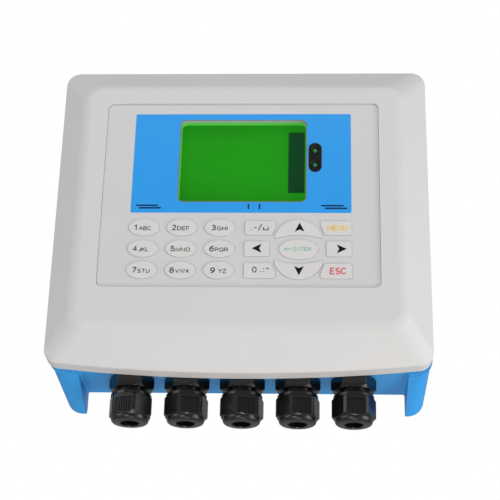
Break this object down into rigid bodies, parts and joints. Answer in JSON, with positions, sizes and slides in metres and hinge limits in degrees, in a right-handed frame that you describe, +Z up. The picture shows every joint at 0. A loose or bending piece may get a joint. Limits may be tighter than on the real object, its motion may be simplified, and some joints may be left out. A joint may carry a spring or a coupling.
{
  "type": "wall-mounted utility meter",
  "caption": "Wall-mounted utility meter housing with a green graphic display, membrane keypad, infrared port and a row of cable glands under a sloped grey cover on a blue base.",
  "frame": {"origin": "on the base's back face, which lies on the wall, straight behind the middle of the cover", "axes": "+X to the right seen from the front, +Y into the wall, +Z up along the wall"},
  "size_m": [0.184, 0.056, 0.1828],
  "materials": {
    "base_plastic": "satin moulded blue",
    "cover_plastic": "fine matt light grey moulding",
    "overlay_film": "matt printed film, light grey with a blue field",
    "key_grey": "embossed matt film",
    "window_acrylic": "clear polished acrylic",
    "lcd_green": "backlit green display glass",
    "bezel_plastic": "gloss black",
    "led_plastic": "tinted clear epoxy",
    "gland_nylon": "satin black nylon",
    "seal_rubber": "matt black rubber",
    "gasket_rubber": "matt black foam rubber",
    "screw_steel": "zinc plated",
    "core_steel": "laminated steel",
    "frame_steel": "folded steel sheet",
    "can_aluminium": "sleeved aluminium can",
    "contact_brass": "bright brass",
    "circuit_board": "green solder resist",
    "terminal_plastic": "green moulded plastic",
    "connector_plastic": "black moulded plastic",
    "winding_plastic": "yellow tape over copper winding",
    "relay_plastic": "blue moulded case",
    "chip_plastic": "black epoxy",
    "contact_film": "amber polyester film",
    "fuse_glass": "glass tube"
  },
  "bodies": {
    "base": {"base_shell": "base_plastic", "cover_gasket": "gasket_rubber", "cover_screws": "screw_steel", "terminal_board": "circuit_board", "board_screws": "screw_steel", "terminal_blocks": "terminal_plastic", "terminal_screws": "screw_steel", "transformer_core": "core_steel", "transformer_winding": "winding_plastic", "relay": "relay_plastic", "capacitors": "can_aluminium", "fuse_clips": "contact_brass", "fuse": "fuse_glass", "board_header": "connector_plastic", "gland_bodies": "gland_nylon", "gland_washers": "gasket_rubber", "gland_locknuts": "gland_nylon"},
    "cover": {"front_cover": "cover_plastic", "keypad_overlay": "overlay_film", "switch_film": "contact_film", "display_window": "window_acrylic", "ir_port_bezel": "bezel_plastic", "ir_leds": "led_plastic", "lcd_frame": "frame_steel", "lcd_glass": "lcd_green", "lcd_board": "circuit_board", "board_posts_and_screws": "contact_brass", "main_board": "circuit_board", "processor_chips": "chip_plastic", "coin_cell": "screw_steel", "socket_header": "connector_plastic", "keypad_tail": "contact_film"},
    "key_1": {"key_1": "key_grey"},
    "key_2": {"key_2": "key_grey"},
    "key_3": {"key_3": "key_grey"},
    "key_4": {"key_4": "key_grey"},
    "key_5": {"key_5": "key_grey"},
    "key_6": {"key_6": "key_grey"},
    "key_7": {"key_7": "key_grey"},
    "key_8": {"key_8": "key_grey"},
    "key_9": {"key_9": "key_grey"},
    "key_dash": {"key_dash": "key_grey"},
    "key_up": {"key_up": "key_grey"},
    "key_menu": {"key_menu": "key_grey"},
    "key_left": {"key_left": "key_grey"},
    "key_enter": {"key_enter": "key_grey"},
    "key_right": {"key_right": "key_grey"},
    "key_zero": {"key_zero": "key_grey"},
    "key_down": {"key_down": "key_grey"},
    "key_escape": {"key_escape": "key_grey"},
    "seal_1": {"gland_seal_1": "seal_rubber"},
    "nut_1": {"gland_nut_1": "gland_nylon"},
    "seal_2": {"gland_seal_2": "seal_rubber"},
    "nut_2": {"gland_nut_2": "gland_nylon"},
    "seal_3": {"gland_seal_3": "seal_rubber"},
    "nut_3": {"gland_nut_3": "gland_nylon"},
    "seal_4": {"gland_seal_4": "seal_rubber"},
    "nut_4": {"gland_nut_4": "gland_nylon"},
    "seal_5": {"gland_seal_5": "seal_rubber"},
    "nut_5": {"gland_nut_5": "gland_nylon"}
  },
  "joints": [
    {"name": "cover_lift", "type": "slide", "parent": "base", "child": "cover", "axis": [0, -1, 0], "range_m": [0, 0.07]},
    {"name": "key_1_press", "type": "slide", "parent": "cover", "child": "key_1", "axis": [0, 1, 0], "range_m": [0, 0.0005], "stiffness_N_per_m": 800},
    {"name": "key_2_press", "type": "slide", "parent": "cover", "child": "key_2", "axis": [0, 1, 0], "range_m": [0, 0.0005], "stiffness_N_per_m": 800},
    {"name": "key_3_press", "type": "slide", "parent": "cover", "child": "key_3", "axis": [0, 1, 0], "range_m": [0, 0.0005], "stiffness_N_per_m": 800},
    {"name": "key_4_press", "type": "slide", "parent": "cover", "child": "key_4", "axis": [0, 1, 0], "range_m": [0, 0.0005], "stiffness_N_per_m": 800},
    {"name": "key_5_press", "type": "slide", "parent": "cover", "child": "key_5", "axis": [0, 1, 0], "range_m": [0, 0.0005], "stiffness_N_per_m": 800},
    {"name": "key_6_press", "type": "slide", "parent": "cover", "child": "key_6", "axis": [0, 1, 0], "range_m": [0, 0.0005], "stiffness_N_per_m": 800},
    {"name": "key_7_press", "type": "slide", "parent": "cover", "child": "key_7", "axis": [0, 1, 0], "range_m": [0, 0.0005], "stiffness_N_per_m": 800},
    {"name": "key_8_press", "type": "slide", "parent": "cover", "child": "key_8", "axis": [0, 1, 0], "range_m": [0, 0.0005], "stiffness_N_per_m": 800},
    {"name": "key_9_press", "type": "slide", "parent": "cover", "child": "key_9", "axis": [0, 1, 0], "range_m": [0, 0.0005], "stiffness_N_per_m": 800},
    {"name": "key_dash_press", "type": "slide", "parent": "cover", "child": "key_dash", "axis": [0, 1, 0], "range_m": [0, 0.0005], "stiffness_N_per_m": 800},
    {"name": "key_up_press", "type": "slide", "parent": "cover", "child": "key_up", "axis": [0, 1, 0], "range_m": [0, 0.0005], "stiffness_N_per_m": 800},
    {"name": "key_menu_press", "type": "slide", "parent": "cover", "child": "key_menu", "axis": [0, 1, 0], "range_m": [0, 0.0005], "stiffness_N_per_m": 800},
    {"name": "key_left_press", "type": "slide", "parent": "cover", "child": "key_left", "axis": [0, 1, 0], "range_m": [0, 0.0005], "stiffness_N_per_m": 800},
    {"name": "key_enter_press", "type": "slide", "parent": "cover", "child": "key_enter", "axis": [0, 1, 0], "range_m": [0, 0.0005], "stiffness_N_per_m": 800},
    {"name": "key_right_press", "type": "slide", "parent": "cover", "child": "key_right", "axis": [0, 1, 0], "range_m": [0, 0.0005], "stiffness_N_per_m": 800},
    {"name": "key_zero_press", "type": "slide", "parent": "cover", "child": "key_zero", "axis": [0, 1, 0], "range_m": [0, 0.0005], "stiffness_N_per_m": 800},
    {"name": "key_down_press", "type": "slide", "parent": "cover", "child": "key_down", "axis": [0, 1, 0], "range_m": [0, 0.0005], "stiffness_N_per_m": 800},
    {"name": "key_escape_press", "type": "slide", "parent": "cover", "child": "key_escape", "axis": [0, 1, 0], "range_m": [0, 0.0005], "stiffness_N_per_m": 800},
    {"name": "seal_1_travel", "type": "slide", "parent": "base", "child": "seal_1", "axis": [0, 0, 1], "range_m": [-0.0031, 0.0018]},
    {"name": "nut_1_turn", "type": "hinge", "parent": "seal_1", "child": "nut_1", "pos_m": [-0.0515, -0.0256, -0.09], "axis": [0, 0, 1], "range_deg": [-720, 420]},
    {"name": "seal_2_travel", "type": "slide", "parent": "base", "child": "seal_2", "axis": [0, 0, 1], "range_m": [-0.0031, 0.0018]},
    {"name": "nut_2_turn", "type": "hinge", "parent": "seal_2", "child": "nut_2", "pos_m": [-0.0249, -0.0256, -0.09], "axis": [0, 0, 1], "range_deg": [-720, 420]},
    {"name": "seal_3_travel", "type": "slide", "parent": "base", "child": "seal_3", "axis": [0, 0, 1], "range_m": [-0.0031, 0.0018]},
    {"name": "nut_3_turn", "type": "hinge", "parent": "seal_3", "child": "nut_3", "pos_m": [0.0017, -0.0256, -0.09], "axis": [0, 0, 1], "range_deg": [-720, 420]},
    {"name": "seal_4_travel", "type": "slide", "parent": "base", "child": "seal_4", "axis": [0, 0, 1], "range_m": [-0.0031, 0.0018]},
    {"name": "nut_4_turn", "type": "hinge", "parent": "seal_4", "child": "nut_4", "pos_m": [0.0283, -0.0256, -0.09], "axis": [0, 0, 1], "range_deg": [-720, 420]},
    {"name": "seal_5_travel", "type": "slide", "parent": "base", "child": "seal_5", "axis": [0, 0, 1], "range_m": [-0.0031, 0.0018]},
    {"name": "nut_5_turn", "type": "hinge", "parent": "seal_5", "child": "nut_5", "pos_m": [0.0549, -0.0256, -0.09], "axis": [0, 0, 1], "range_deg": [-720, 420]}
  ],
  "couplings": [
    {"joint": "seal_1_travel", "follows": "nut_1_turn", "m_per_rad": 0.00023873},
    {"joint": "seal_2_travel", "follows": "nut_2_turn", "m_per_rad": 0.00023873},
    {"joint": "seal_3_travel", "follows": "nut_3_turn", "m_per_rad": 0.00023873},
    {"joint": "seal_4_travel", "follows": "nut_4_turn", "m_per_rad": 0.00023873},
    {"joint": "seal_5_travel", "follows": "nut_5_turn", "m_per_rad": 0.00023873}
  ]
}
